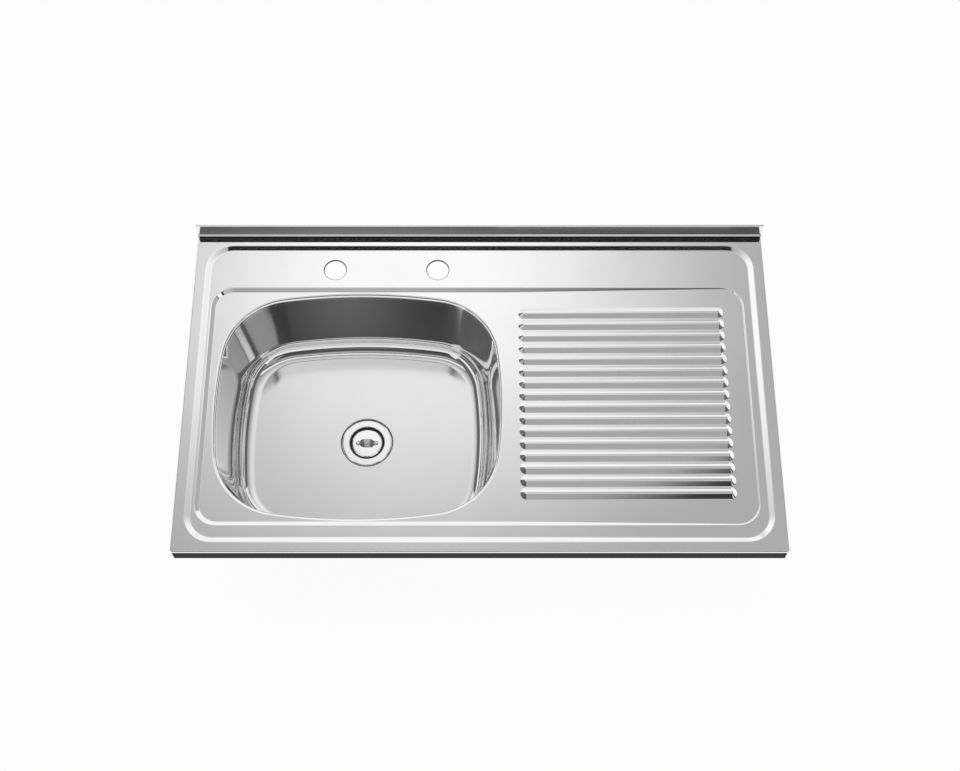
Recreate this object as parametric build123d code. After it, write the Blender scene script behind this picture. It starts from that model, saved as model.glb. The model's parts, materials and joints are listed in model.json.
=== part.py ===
from build123d import *
import os
from math import atan, cos, degrees, pi, radians, sin, tan

# Lay-on kitchen sink of pressed stainless sheet, in millimetres: one bowl on the left, a ribbed drainer on the
# right, a rear upstand, and a strainer waste closed by a lift-out plug.
# +X is the user's right, +Y points to the wall, +Z is up.
# The origin is the middle of the rear rim's underside, where the rim lies on the cabinet.

# Pressed sheet
SHEET = 0.8

# Deck, with its turned-down front and side edges
WIDTH = 1000.0
DECK_DEPTH = 594.0
REST_SETBACK = 12.0
SKIRT_HEIGHT = 28.0
EDGE_RADIUS = 3.0

# Rear upstand: it leans back a little and returns level to the wall, with a short lip down
UPSTAND_HEIGHT = 28.0
UPSTAND_LEAN = 1.5
UPSTAND_RETURN = 4.5
UPSTAND_LIP = 8.0
FOOT_BEND = 3.0
RETURN_BEND = 1.5

# Raised rim, and the gentle step from it down to the tap ledge
RIM_SIDE = 19.5
RIM_FRONT = 17.7
RIM_BACK = 21.2
RIM_DROP = 3.3
RIM_SLOPE = 20.0
RIM_CORNER = 47.0
RIM_FILLET = 6.0

# Sunk panel for bowl and drainer, measured from the deck's edges
PANEL_LEFT = 33.7
PANEL_RIGHT = 41.5
PANEL_FRONT = 48.0
PANEL_BACK = 104.5
PANEL_DROP = 4.2
PANEL_SLOPE = 30.0
PANEL_CORNER = 38.0
PANEL_FILLET = 4.0

# Drainer: it rises gently from beside the bowl to the right end of the panel
DRAINER_END_DROP = 1.2

# Pair of tap holes in the ledge behind the bowl, placed from the bowl's middle
TAP_HOLE = 38.0
TAP_SPACING = 180.0
TAP_OFFSET_X = 41.7
TAP_SETBACK = 69.0

# Drainer ribs along X, spread over the panel between these gaps to its edges
RIB_COUNT = 16
RIB_FLAT = 0.4
RIB_HEIGHT = 4.6
RIB_CREST = 4.0
RIB_END_FACETS = 6
RIB_START_GAP = 18.0
RIB_END_GAP = 35.0
RIB_FRONT_GAP = 56.0
RIB_BACK_GAP = 49.5

# Bowl: a barrel-shaped mouth with bulging sides, drawn walls and a rounded floor edge.
# Its gaps are level borders of the panel; the drainer begins past the right one.
BOWL_WIDTH = 480.0
BOWL_DEPTH = 155.0
BOWL_LEFT_GAP = 21.1
BOWL_RIGHT_GAP = 13.2
BOWL_FRONT_GAP = 13.4
BOWL_BACK_GAP = 13.7
BOWL_SIDE_BULGE = 770.0
BOWL_END_BULGE = 950.0
BOWL_CORNER = 117.0
BOWL_DRAFT = 9.0
BOWL_FLOOR_RADIUS = 30.0
BOWL_LIP = 6.0
COLLAR_DEPTH = 12.0

# Sunk seat for the waste in the bowl's floor, placed from the bowl's middle
WASTE_OFFSET_X = 5.7
WASTE_OFFSET_Y = -8.0
RECESS_RADIUS = 46.2
RECESS_DEPTH = 3.0
RECESS_FLARE = 1.5
WASTE_HOLE_RADIUS = 33.0

# Sound-damping pad glued under the floor, round the waste
PAD_WIDTH = 270.0
PAD_LENGTH = 220.0
PAD_CORNER = 30.0
PAD_THICKNESS = 2.0
PAD_GAP = 4.0

# Strainer cup with its flange, plug seat and drained bottom
CUP_SHEET = 1.0
FLANGE_RADIUS = 43.4
MOUTH_RADIUS = 30.5
SEAT_DEPTH = 7.0
WELL_RADIUS = 25.0
CUP_DEPTH = 40.0
CUP_LIP = 0.7
DRAIN_HOLE = 9.0
DRAIN_HOLES = 6
DRAIN_RING_RADIUS = 17.0

# Seals between the cup, the bowl and the waste body
FLANGE_SEAL = 1.5
FLANGE_SEAL_RADIUS = 41.0
GASKET = 3.0
GASKET_RADIUS = 41.0

# Plastic waste body with its boss, ribs and threaded outlet
BODY_WALL = 3.0
BODY_BORE_RADIUS = 34.0
BODY_FLANGE_RADIUS = 44.0
BODY_FLANGE = 4.0
BODY_SUMP = 14.0
BODY_CONE = 15.0
BOSS_RADIUS = 8.0
BOSS_HEIGHT = 18.0
BOSS_RIBS = 4
BOSS_RIB = 3.0
OUTLET_RADIUS = 23.9
OUTLET_BORE_RADIUS = 20.0
OUTLET_LENGTH = 24.0

# Brass insert and the screw that clamps cup and body together
BOLT_RADIUS = 3.0
BOLT_REACH = 13.0
BOLT_HEAD_RADIUS = 6.0
BOLT_HEAD = 3.5
INSERT_WALL = 1.6
INSERT_LENGTH = 14.0
FIT_GAP = 0.2

# Lift-out plug: seal, cap, bow handle, and a strainer basket on a post below
SEAL_GAP = 0.4
SEAL_THICKNESS = 3.0
CAP_RADIUS = 26.5
CAP_THICKNESS = 1.0
CAP_EDGE = 0.6
WASHER_RADIUS = 22.0
WASHER_THICKNESS = 1.0
POST_RADIUS = 3.0
POST_HEAD_RADIUS = 5.0
POST_HEAD = 1.2
POST_COLLAR_RADIUS = 4.5
POST_COLLAR = 20.0
BASKET_RADIUS = 21.0
BASKET_HEIGHT = 16.0
BASKET_SHEET = 0.6
BASKET_SLOTS = 10
BASKET_SLOT = 3.0
BASKET_SLOT_HEIGHT = 8.0
BASKET_SLOT_START = 8.0
BASKET_SLOT_END = 16.0
HANDLE_LENGTH = 40.0
HANDLE_FOOT = 8.0
HANDLE_HEIGHT = 10.0
HANDLE_WIDTH = 8.0
HANDLE_STRIP = 1.2
HANDLE_RISE = 4.0
HANDLE_FOOT_BEND = 1.8
HANDLE_TOP_BEND = 6.0
RIVET_RADIUS = 1.5
RIVET_HEAD_RADIUS = 2.6
RIVET_HEAD = 1.0

# Places that follow from the sizes above
RIM_TOP = SHEET
FACE_Y = REST_SETBACK
FRONT_Y = FACE_Y - DECK_DEPTH
BEND_Y = FACE_Y - FOOT_BEND
SKIRT_Z = RIM_TOP - SKIRT_HEIGHT
LEDGE_Z = RIM_TOP - RIM_DROP
PANEL_MIN_X = -WIDTH / 2 + PANEL_LEFT
PANEL_MAX_X = WIDTH / 2 - PANEL_RIGHT
PANEL_MIN_Y = FRONT_Y + PANEL_FRONT
PANEL_MAX_Y = FACE_Y - PANEL_BACK
PANEL_Z = LEDGE_Z - PANEL_DROP
BOWL_LENGTH = PANEL_MAX_Y - PANEL_MIN_Y - BOWL_FRONT_GAP - BOWL_BACK_GAP
BOWL_X = PANEL_MIN_X + BOWL_LEFT_GAP + BOWL_WIDTH / 2
BOWL_Y = PANEL_MIN_Y + BOWL_FRONT_GAP + BOWL_LENGTH / 2
COLLAR_Z = PANEL_Z - COLLAR_DEPTH
FLOOR_Z = RIM_TOP - BOWL_DEPTH
RECESS_Z = FLOOR_Z - RECESS_DEPTH
WASTE_X = BOWL_X + WASTE_OFFSET_X
WASTE_Y = BOWL_Y + WASTE_OFFSET_Y
TAP_CENTRE_X = BOWL_X + TAP_OFFSET_X
DRAINER_START_X = BOWL_X + BOWL_WIDTH / 2 + BOWL_RIGHT_GAP
DRAINER_FALL = (PANEL_DROP - DRAINER_END_DROP) / (PANEL_MAX_X - DRAINER_START_X)
RIB_START_X = DRAINER_START_X + RIB_START_GAP
RIB_LENGTH = PANEL_MAX_X - RIB_END_GAP - RIB_START_X
RIB_FIRST_Y = PANEL_MIN_Y + RIB_FRONT_GAP
RIB_PITCH = (PANEL_MAX_Y - RIB_BACK_GAP - RIB_FIRST_Y) / (RIB_COUNT - 1)
RIB_WIDTH = RIB_PITCH - RIB_FLAT
OVERRUN = 10.0
DRAINER_PLANE = Plane(
    origin=(DRAINER_START_X, 0, PANEL_Z),
    x_dir=(1, 0, DRAINER_FALL),
    z_dir=(-DRAINER_FALL, 0, 1),
)


def face_near(solid, point):
    """The face of a solid that passes nearest to a point."""
    return min(solid.faces(), key=lambda face: face.distance_to(Vector(point)))


def narrowing(outline, top, depth, taper):
    """Solid below an outline at a height, drawing in all round at an angle from upright."""
    return Pos(0, 0, top) * mirror(extrude(outline, depth, taper=taper), about=Plane.XY)


def rounded_pocket(low, high, corner, top, depth, slope):
    """Pocket with a rounded plan between two corners, with walls at a slope from level."""
    middle = Pos((low[0] + high[0]) / 2, (low[1] + high[1]) / 2)
    plan = middle * RectangleRounded(high[0] - low[0], high[1] - low[1], corner)
    return narrowing(plan, top, depth, 90 - slope)


def bowl_outline(grow):
    """Barrel-shaped outline of the bowl's mouth, with bulging sides and large corners, grown all round."""
    half_width = BOWL_WIDTH / 2 + grow
    half_length = BOWL_LENGTH / 2 + grow
    side = BOWL_SIDE_BULGE + grow
    end = BOWL_END_BULGE + grow
    pillow = Pos(half_width - side, 0) * Circle(side)
    pillow &= Pos(side - half_width, 0) * Circle(side)
    pillow &= Pos(0, half_length - end) * Circle(end)
    pillow &= Pos(0, end - half_length) * Circle(end)
    return fillet(pillow.vertices(), BOWL_CORNER + grow)


def bowl_body(grow, top, bottom):
    """Solid between two heights inside the bowl's drawn wall, grown outwards by a thickness."""
    inset = (PANEL_Z - top) * tan(radians(BOWL_DRAFT))
    return Pos(BOWL_X, BOWL_Y, 0) * narrowing(bowl_outline(grow - inset), top, top - bottom, BOWL_DRAFT)


def rib():
    """One drainer rib on a level plane at the origin: a roof with a narrow crest and rounded, faceted ends."""
    reach = (RIB_LENGTH - RIB_WIDTH) / 2
    turns = [pi / RIB_END_FACETS * step - pi / 2 for step in range(RIB_END_FACETS + 1)]
    end = [(reach + RIB_WIDTH / 2 * cos(turn), RIB_WIDTH / 2 * sin(turn)) for turn in turns]
    base = make_face(Polyline(*end, *[(-x, -y) for x, y in end], close=True))
    slope = degrees(atan((RIB_WIDTH - RIB_CREST) / 2 / RIB_HEIGHT))
    return extrude(base, RIB_HEIGHT, taper=slope) + extrude(base, -SHEET)


def ribs(lowered):
    """All ribs of the drainer, standing on its sloping face."""
    one = rib()
    row = []
    for index in range(RIB_COUNT):
        place = Pos(RIB_START_GAP + RIB_LENGTH / 2, RIB_FIRST_Y + index * RIB_PITCH, 0)
        row.append(Pos(0, 0, -lowered) * DRAINER_PLANE.location * place * one)
    return row


def deck_body(lowered, back, bottom):
    """Solid under the deck's upper face, or under its lower face when lowered by the sheet."""
    top = RIM_TOP - lowered
    side = WIDTH / 2 - lowered
    front = FRONT_Y + lowered
    block = Pos(0, (front + back) / 2, (top + bottom) / 2) * Box(2 * side, back - front, top - bottom)
    bends = [edge for edge in block.edges() if edge.center().Z > top - SHEET and edge.center().Y < back - SHEET]
    bends += [edge for edge in block.edges().filter_by(Axis.Z) if edge.center().Y < front + SHEET]
    block = fillet(bends, EDGE_RADIUS - lowered)
    block -= rounded_pocket(
        (-WIDTH / 2 + RIM_SIDE, FRONT_Y + RIM_FRONT),
        (WIDTH / 2 - RIM_SIDE, FACE_Y - RIM_BACK),
        RIM_CORNER, top, RIM_DROP, RIM_SLOPE,
    )
    panel = rounded_pocket(
        (PANEL_MIN_X, PANEL_MIN_Y), (PANEL_MAX_X, PANEL_MAX_Y),
        PANEL_CORNER, LEDGE_Z - lowered, PANEL_DROP, PANEL_SLOPE,
    )
    reach = WIDTH / 2 - DRAINER_START_X
    slope = Polyline((0, 0), (reach, reach * DRAINER_FALL), (reach, -PANEL_DROP), (0, -PANEL_DROP), close=True)
    under_drainer = extrude(Plane.XZ * make_face(slope), DECK_DEPTH, both=True)
    block -= panel - Pos(DRAINER_START_X, 0, PANEL_Z - lowered) * under_drainer
    rim = face_near(block, (0, 0, top))
    ledge_point = (TAP_CENTRE_X, FACE_Y - TAP_SETBACK, LEDGE_Z - lowered)
    ledge = face_near(block, ledge_point)
    block = fillet(rim.inner_wires()[0].edges() + ledge.outer_wire().edges(), RIM_FILLET)
    block = fillet(face_near(block, ledge_point).inner_wires()[0].edges(), PANEL_FILLET)
    block -= bowl_body(lowered, LEDGE_Z, bottom - OVERRUN)
    beside_bowl = (DRAINER_START_X - SHEET, BOWL_Y, PANEL_Z - lowered)
    block = fillet(face_near(block, beside_bowl).inner_wires()[0].edges(), BOWL_LIP - lowered)
    return block + ribs(lowered)


def upstand():
    """Rear upstand as one bent strip: foot, leaning face, level return and short lip."""
    middle = SHEET / 2
    foot_y = FACE_Y + middle
    top_y = foot_y + UPSTAND_LEAN
    wall_y = FACE_Y + UPSTAND_LEAN + UPSTAND_RETURN - middle
    top_z = RIM_TOP + UPSTAND_HEIGHT - middle
    line = FilletPolyline(
        (BEND_Y, middle), (foot_y, middle), (top_y, top_z), (wall_y, top_z), (wall_y, top_z - UPSTAND_LIP),
        radius=[FOOT_BEND - middle, RETURN_BEND, RETURN_BEND],
    )
    strip = Plane.YZ * trace(line, SHEET)
    return extrude(strip, WIDTH / 2, both=True)


def sink_top():
    """Pressed deck in one sheet: rim, tap ledge, drainer, bowl collar, turned-down edges and upstand."""
    sheet = deck_body(0, BEND_Y, SKIRT_Z)
    sheet -= deck_body(SHEET, BEND_Y + OVERRUN, SKIRT_Z - OVERRUN)
    below_collar = bowl_body(OVERRUN, COLLAR_Z, SKIRT_Z - OVERRUN)
    sheet -= below_collar
    for side in (-1, 1):
        place = Pos(TAP_CENTRE_X + side * TAP_SPACING / 2, FACE_Y - TAP_SETBACK, LEDGE_Z)
        sheet -= place * Cylinder(TAP_HOLE / 2, 4 * SHEET)
    return sheet + upstand()


def bowl():
    """Deep-drawn bowl, welded edge to edge below the deck's collar, with a sunk seat round the waste hole."""
    solids = []
    for wall in (SHEET, 0):
        bottom = FLOOR_Z - wall
        body = bowl_body(wall, COLLAR_Z, bottom)
        body = fillet(face_near(body, (BOWL_X, BOWL_Y, bottom)).edges(), BOWL_FLOOR_RADIUS + wall)
        seat = Pos(WASTE_X, WASTE_Y, bottom - RECESS_DEPTH / 2) * Cone(
            RECESS_RADIUS - RECESS_FLARE + wall, RECESS_RADIUS + wall, RECESS_DEPTH
        )
        solids.append(body + seat)
    outside, inside = solids
    return outside - inside - Pos(WASTE_X, WASTE_Y, RECESS_Z) * Cylinder(WASTE_HOLE_RADIUS, 4 * SHEET)


def bowl_pad():
    """Soft pad on the underside of the floor, open round the waste seat."""
    top = FLOOR_Z - SHEET
    pad = extrude(Pos(WASTE_X, WASTE_Y, top) * RectangleRounded(PAD_WIDTH, PAD_LENGTH, PAD_CORNER), -PAD_THICKNESS)
    return pad - Pos(WASTE_X, WASTE_Y, top) * Cylinder(RECESS_RADIUS + SHEET + PAD_GAP, 4 * PAD_THICKNESS)


def turned(points):
    """Solid of revolution about the waste's axis from radius and height pairs."""
    profile = Plane.XZ * make_face(Polyline(*points, close=True))
    return Pos(WASTE_X, WASTE_Y, 0) * revolve(profile, Axis.Z)


def ring(inner, outer, bottom, top):
    """Flat ring about the waste's axis."""
    return turned([(inner, bottom), (outer, bottom), (outer, top), (inner, top)])


def drilled(solid, radius, count, hole_radius, height, depth):
    """A solid with a ring of holes parallel to the waste's axis."""
    for place in PolarLocations(radius, count):
        solid -= Pos(WASTE_X, WASTE_Y, height) * place * Cylinder(hole_radius, depth)
    return solid


# Heights along the waste's axis, from the flange down
FLANGE_Z = RECESS_Z + FLANGE_SEAL
SEAT_Z = FLANGE_Z + CUP_SHEET - SEAT_DEPTH
CUP_FLOOR_Z = FLANGE_Z + CUP_SHEET - CUP_DEPTH
GASKET_TOP_Z = RECESS_Z - SHEET
BODY_TOP_Z = GASKET_TOP_Z - GASKET
BOSS_TOP_Z = CUP_FLOOR_Z - CUP_SHEET
CONE_TOP_Z = BOSS_TOP_Z - BODY_SUMP
CONE_FOOT_Z = CONE_TOP_Z - BODY_CONE
OUTLET_Z = CONE_FOOT_Z - OUTLET_LENGTH
SEAL_TOP_Z = SEAT_Z + SEAL_THICKNESS
CAP_TOP_Z = SEAL_TOP_Z + CAP_THICKNESS
WASHER_Z = SEAT_Z - WASHER_THICKNESS
BASKET_Z = WASHER_Z - POST_COLLAR
INSERT_RADIUS = BOLT_RADIUS + FIT_GAP + INSERT_WALL
RIVET_X = HANDLE_LENGTH / 2 - HANDLE_FOOT / 2


def strainer_cup():
    """Pressed cup: flange, mouth, plug seat, well and drained bottom with the screw's hole."""
    mouth_outside = MOUTH_RADIUS + CUP_SHEET
    well_outside = WELL_RADIUS + CUP_SHEET
    cup = turned([
        (FLANGE_RADIUS, FLANGE_Z), (FLANGE_RADIUS, FLANGE_Z + CUP_SHEET),
        (MOUTH_RADIUS, FLANGE_Z + CUP_SHEET), (MOUTH_RADIUS, SEAT_Z),
        (WELL_RADIUS, SEAT_Z), (WELL_RADIUS, CUP_FLOOR_Z),
        (BOLT_RADIUS + FIT_GAP, CUP_FLOOR_Z), (BOLT_RADIUS + FIT_GAP, CUP_FLOOR_Z - CUP_SHEET),
        (well_outside, CUP_FLOOR_Z - CUP_SHEET), (well_outside, SEAT_Z - CUP_SHEET),
        (mouth_outside, SEAT_Z - CUP_SHEET), (mouth_outside, FLANGE_Z),
    ])
    top_edges = cup.edges().filter_by(GeomType.CIRCLE).group_by(Axis.Z)[-1]
    cup = chamfer(top_edges, CUP_LIP)
    return drilled(cup, DRAIN_RING_RADIUS, DRAIN_HOLES, DRAIN_HOLE / 2, CUP_FLOOR_Z, 4 * CUP_SHEET)


def flange_seal():
    """Thin seal between the cup's flange and the bowl's seat."""
    return ring(WASTE_HOLE_RADIUS, FLANGE_SEAL_RADIUS, RECESS_Z, FLANGE_Z)


def lower_gasket():
    """Thick seal between the bowl's underside and the waste body."""
    return ring(WASTE_HOLE_RADIUS, GASKET_RADIUS, BODY_TOP_Z, GASKET_TOP_Z)


def waste_body():
    """Moulded funnel below the bowl, with a ribbed boss for the screw and a spigot for the drain."""
    outside = BODY_BORE_RADIUS + BODY_WALL
    funnel = turned([
        (BODY_BORE_RADIUS, BODY_TOP_Z), (BODY_FLANGE_RADIUS, BODY_TOP_Z),
        (BODY_FLANGE_RADIUS, BODY_TOP_Z - BODY_FLANGE), (outside, BODY_TOP_Z - BODY_FLANGE),
        (outside, CONE_TOP_Z), (OUTLET_RADIUS, CONE_FOOT_Z), (OUTLET_RADIUS, OUTLET_Z),
        (OUTLET_BORE_RADIUS, OUTLET_Z), (OUTLET_BORE_RADIUS, CONE_FOOT_Z), (BODY_BORE_RADIUS, CONE_TOP_Z),
    ])
    boss = ring(INSERT_RADIUS + FIT_GAP, BOSS_RADIUS, BOSS_TOP_Z - BOSS_HEIGHT, BOSS_TOP_Z)
    rib_start = (INSERT_RADIUS + BOSS_RADIUS) / 2
    rib_end = BODY_BORE_RADIUS + BODY_WALL / 2
    web_middle = (rib_start + rib_end) / 2
    web = Pos(web_middle, 0, BOSS_TOP_Z - BODY_SUMP / 2) * Box(rib_end - rib_start, BOSS_RIB, BODY_SUMP)
    body = funnel + boss
    for index in range(BOSS_RIBS):
        body += Pos(WASTE_X, WASTE_Y, 0) * Rot(0, 0, 360 / BOSS_RIBS * index) * web
    return body


def thread_insert():
    """Brass sleeve in the boss that takes the screw."""
    return ring(BOLT_RADIUS + FIT_GAP, INSERT_RADIUS, BOSS_TOP_Z - INSERT_LENGTH, BOSS_TOP_Z)


def clamp_bolt():
    """Pan-head screw through the cup's bottom."""
    bolt = turned([
        (0, CUP_FLOOR_Z + BOLT_HEAD), (BOLT_HEAD_RADIUS, CUP_FLOOR_Z + BOLT_HEAD),
        (BOLT_HEAD_RADIUS, CUP_FLOOR_Z), (BOLT_RADIUS, CUP_FLOOR_Z),
        (BOLT_RADIUS, BOSS_TOP_Z - BOLT_REACH), (0, BOSS_TOP_Z - BOLT_REACH),
    ])
    crown = bolt.edges().filter_by(GeomType.CIRCLE).group_by(Axis.Z)[-1]
    return chamfer(crown, BOLT_HEAD / 2)


def plug_seal():
    """Rubber ring that closes the cup's mouth."""
    return ring(POST_RADIUS + FIT_GAP, MOUTH_RADIUS - SEAL_GAP, SEAT_Z, SEAL_TOP_Z)


def plug_cap():
    """Steel cap on the seal, with the holes of the post and the handle's rivets."""
    cap = ring(POST_RADIUS + FIT_GAP, CAP_RADIUS, SEAL_TOP_Z, CAP_TOP_Z)
    rim = cap.edges().filter_by(GeomType.CIRCLE).group_by(Axis.Z)[-1].sort_by(SortBy.RADIUS)[-1]
    cap = chamfer(rim, CAP_EDGE)
    return drilled(cap, RIVET_X, 2, RIVET_RADIUS + FIT_GAP, CAP_TOP_Z, 4 * CAP_THICKNESS)


def seal_washer():
    """Steel washer that backs the seal from below."""
    return ring(POST_RADIUS + FIT_GAP, WASHER_RADIUS, WASHER_Z, SEAT_Z)


def basket_post():
    """Riveted post through cap, seal and washer, with a collar that carries the basket."""
    return turned([
        (0, CAP_TOP_Z + POST_HEAD), (POST_HEAD_RADIUS, CAP_TOP_Z + POST_HEAD), (POST_HEAD_RADIUS, CAP_TOP_Z),
        (POST_RADIUS, CAP_TOP_Z), (POST_RADIUS, WASHER_Z), (POST_COLLAR_RADIUS, WASHER_Z),
        (POST_COLLAR_RADIUS, BASKET_Z), (POST_RADIUS, BASKET_Z), (POST_RADIUS, BASKET_Z - BASKET_SHEET),
        (POST_HEAD_RADIUS, BASKET_Z - BASKET_SHEET), (POST_HEAD_RADIUS, BASKET_Z - BASKET_SHEET - POST_HEAD),
        (0, BASKET_Z - BASKET_SHEET - POST_HEAD),
    ])


def strainer_basket():
    """Perforated basket below the plug, open at the top."""
    top = BASKET_Z + BASKET_HEIGHT
    outside = Pos(WASTE_X, WASTE_Y, 0) * Pos(0, 0, (top + BASKET_Z - BASKET_SHEET) / 2) * Cylinder(
        BASKET_RADIUS, BASKET_HEIGHT + BASKET_SHEET
    )
    basket = offset(outside, -BASKET_SHEET, openings=outside.faces().sort_by(Axis.Z)[-1])
    basket -= Pos(WASTE_X, WASTE_Y, BASKET_Z) * Cylinder(POST_RADIUS + FIT_GAP, 4 * BASKET_SHEET)
    side_slot = Pos(BASKET_RADIUS, 0, BASKET_Z + BASKET_HEIGHT / 2) * Box(
        4 * BASKET_SHEET, BASKET_SLOT, BASKET_SLOT_HEIGHT
    )
    floor_slot = Pos((BASKET_SLOT_START + BASKET_SLOT_END) / 2, 0, BASKET_Z) * Box(
        BASKET_SLOT_END - BASKET_SLOT_START, BASKET_SLOT, 4 * BASKET_SHEET
    )
    for index in range(BASKET_SLOTS):
        turn = Pos(WASTE_X, WASTE_Y, 0) * Rot(0, 0, 360 / BASKET_SLOTS * index)
        basket -= turn * side_slot
        basket -= turn * floor_slot
    return basket


def plug_handle():
    """Bow handle bent from strip, with two flat feet on the cap."""
    middle = HANDLE_STRIP / 2
    end = HANDLE_LENGTH / 2
    foot = end - HANDLE_FOOT
    crown = HANDLE_HEIGHT - middle
    line = FilletPolyline(
        (-end, middle), (-foot, middle), (HANDLE_RISE - foot, crown),
        (foot - HANDLE_RISE, crown), (foot, middle), (end, middle),
        radius=[HANDLE_FOOT_BEND, HANDLE_TOP_BEND, HANDLE_TOP_BEND, HANDLE_FOOT_BEND],
    )
    bow = extrude(Plane.XZ * trace(line, HANDLE_STRIP), HANDLE_WIDTH / 2, both=True)
    handle = Pos(WASTE_X, WASTE_Y, CAP_TOP_Z) * bow
    return drilled(handle, RIVET_X, 2, RIVET_RADIUS + FIT_GAP, CAP_TOP_Z, 4 * HANDLE_STRIP)


def handle_rivets():
    """Two rivets through the handle's feet and the cap."""
    foot_top = CAP_TOP_Z + HANDLE_STRIP
    head = Pos(0, 0, foot_top + RIVET_HEAD / 2) * Cylinder(RIVET_HEAD_RADIUS, RIVET_HEAD)
    head = chamfer(head.edges().group_by(Axis.Z)[-1], RIVET_HEAD / 2)
    shank_length = foot_top - SEAL_TOP_Z
    shank = Pos(0, 0, SEAL_TOP_Z + shank_length / 2) * Cylinder(RIVET_RADIUS, shank_length)
    rivet = head + shank
    return Compound([Pos(WASTE_X + side * RIVET_X, WASTE_Y, 0) * rivet for side in (-1, 1)])


PIECES = (
    sink_top, bowl, bowl_pad, strainer_cup, flange_seal, lower_gasket, waste_body, thread_insert, clamp_bolt,
    plug_seal, plug_cap, seal_washer, basket_post, strainer_basket, plug_handle, handle_rivets,
)

os.makedirs("parts", exist_ok=True)
for piece in PIECES:
    export_step(piece(), f"parts/{piece.__name__}.step")
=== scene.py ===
import json
from math import atan2, cos, pi, radians, sin, sqrt, tan

import bmesh
import bpy
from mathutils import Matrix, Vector
from mathutils.geometry import delaunay_2d_cdt


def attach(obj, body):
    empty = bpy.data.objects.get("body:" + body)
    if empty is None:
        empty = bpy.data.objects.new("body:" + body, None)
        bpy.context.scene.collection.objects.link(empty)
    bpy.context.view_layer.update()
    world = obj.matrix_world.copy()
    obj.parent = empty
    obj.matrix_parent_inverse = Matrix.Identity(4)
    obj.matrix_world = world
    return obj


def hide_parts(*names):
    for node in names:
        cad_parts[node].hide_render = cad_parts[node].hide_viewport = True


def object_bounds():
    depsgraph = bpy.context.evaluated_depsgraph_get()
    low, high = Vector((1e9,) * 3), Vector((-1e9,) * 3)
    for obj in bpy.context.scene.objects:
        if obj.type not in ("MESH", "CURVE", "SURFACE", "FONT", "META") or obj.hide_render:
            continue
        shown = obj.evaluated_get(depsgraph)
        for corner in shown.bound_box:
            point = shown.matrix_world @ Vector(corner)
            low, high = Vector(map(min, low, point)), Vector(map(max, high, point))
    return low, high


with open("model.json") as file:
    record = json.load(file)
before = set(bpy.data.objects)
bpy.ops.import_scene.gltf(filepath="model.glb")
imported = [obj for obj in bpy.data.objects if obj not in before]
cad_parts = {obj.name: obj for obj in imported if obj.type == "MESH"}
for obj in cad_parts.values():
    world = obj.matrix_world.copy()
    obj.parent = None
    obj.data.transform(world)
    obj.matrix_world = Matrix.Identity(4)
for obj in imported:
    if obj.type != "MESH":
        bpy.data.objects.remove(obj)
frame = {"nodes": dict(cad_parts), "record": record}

CAD_LOW, CAD_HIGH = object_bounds()
MM = 0.001
UP = Vector((0, 0, 1))

# Straight lead-in that gives a bent path its first or last direction
LEAD = 9.0

# Sizes of the sink, in millimetres
SHEET = 0.8
WIDTH = 1000.0
FACE_Y = 12.0
FRONT_Y = -582.0
SEAM_Y = 9.0
RIM_Z = 0.8
SKIRT_Z = -27.2
EDGE_BEND = 3.0
EDGE_CORNER = 5.0

# Rear upstand: face, level return and lip, with the bends of its visible side
UPSTAND_TOP = 28.8
UPSTAND_FACE_TOP_Y = 13.5
UPSTAND_BACK_Y = 18.0
UPSTAND_LIP_Z = 20.4
UPSTAND_FOOT_BEND = 2.2
UPSTAND_BEND = 1.9

# Step from the rim down to the tap ledge
RIM_LOW = (-480.5, -564.3)
RIM_HIGH = (480.5, -9.2)
RIM_CORNER = 47.0
RIM_BEND = 6.0
RIM_SLOPE = radians(20.0)
LEDGE_Z = -2.5

# Step from the ledge down to the panel, which rises to the right as a drainer
PANEL_LOW = (-466.3, -534.0)
PANEL_HIGH = (458.5, -92.5)
PANEL_CORNER = 38.0
PANEL_BEND = 4.0
PANEL_FOOT_BEND = 2.0
PANEL_SLOPE = radians(30.0)
PANEL_Z = -6.7
DRAINER_X = 48.0
DRAINER_RISE = 3.0 / (PANEL_HIGH[0] - DRAINER_X)

# Tap holes
TAP_X = (-253.5, -73.5)
TAP_Y = -57.0
TAP_RADIUS = 19.0
TAP_EDGE = 1.4
TAP_TURN = 2.4

# Drainer ribs
RIB_COUNT = 16
RIB_PITCH = 22.4
RIB_FIRST_Y = -478.0
RIB_START_X = 66.0
RIB_END_X = 423.5
RIB_HALF = 11.0
RIB_HEIGHT = 4.6
RIB_CREST = 4.0
RIB_SLOPE = radians(29.0)
RIB_CREST_BEND = 3.5
RIB_FOOT_BEND = 2.0

# Bowl
BOWL_X = -205.2
BOWL_Y = -313.4
BOWL_HALF_WIDTH = 240.0
BOWL_HALF_LENGTH = 207.2
BOWL_SIDE = 770.0
BOWL_END = 950.0
BOWL_CORNER = 117.0
BOWL_DRAFT = tan(radians(9.0))
BOWL_LIP = 6.0
BOWL_FLOOR_BEND = 30.0
COLLAR_Z = -18.7
FLOOR_Z = -154.2

# Waste, all about one axis
WASTE = Vector((-199.5, -321.4, 0))
RECESS_RADIUS = 46.2
RECESS_FOOT_RADIUS = 44.7
RECESS_Z = -157.2
RECESS_BEND = 1.2
WASTE_HOLE_RADIUS = 33.0
FLANGE_RADIUS = 43.4
FLANGE_TOP = -154.7
MOUTH_RADIUS = 30.5
SEAT_Z = -161.7
WELL_RADIUS = 25.0
CUP_FLOOR_Z = -194.7
CUP_SHEET = 1.0
DRAIN_HOLES = 6
DRAIN_HOLE_RADIUS = 4.5
DRAIN_RING_RADIUS = 17.0
BOLT_HOLE_RADIUS = 3.2
FLANGE_EDGE = 1.6
FLANGE_EDGE_DROP = 0.5
CUP_BENDS = (2.4, 1.6, 1.0, 1.6, 3.0)

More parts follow.
